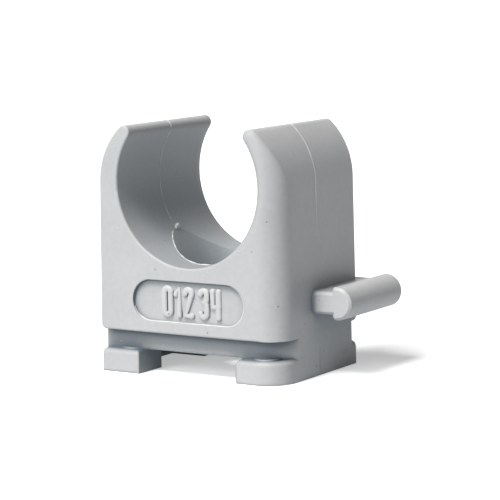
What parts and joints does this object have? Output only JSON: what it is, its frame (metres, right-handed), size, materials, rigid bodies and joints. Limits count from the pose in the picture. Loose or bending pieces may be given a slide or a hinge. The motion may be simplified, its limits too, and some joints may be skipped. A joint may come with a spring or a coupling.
{
  "type": "conduit clip",
  "caption": "One-piece moulded snap-in clip for 16 mm conduit, with two spring arms, a rail foot, a countersunk screw hole and a side key and slot that link clips in a row.",
  "frame": {"origin": "centre of the conduit seat, halfway along its depth", "axes": "+Z out of the mouth, +Y along the conduit towards the back, +X towards the side with the linking key"},
  "size_m": [0.0252, 0.017, 0.0247],
  "materials": {
    "grey_plastic": "fine matte moulded surface"
  },
  "bodies": {
    "root": {"conduit_clip": "grey_plastic"}
  },
  "joints": []
}
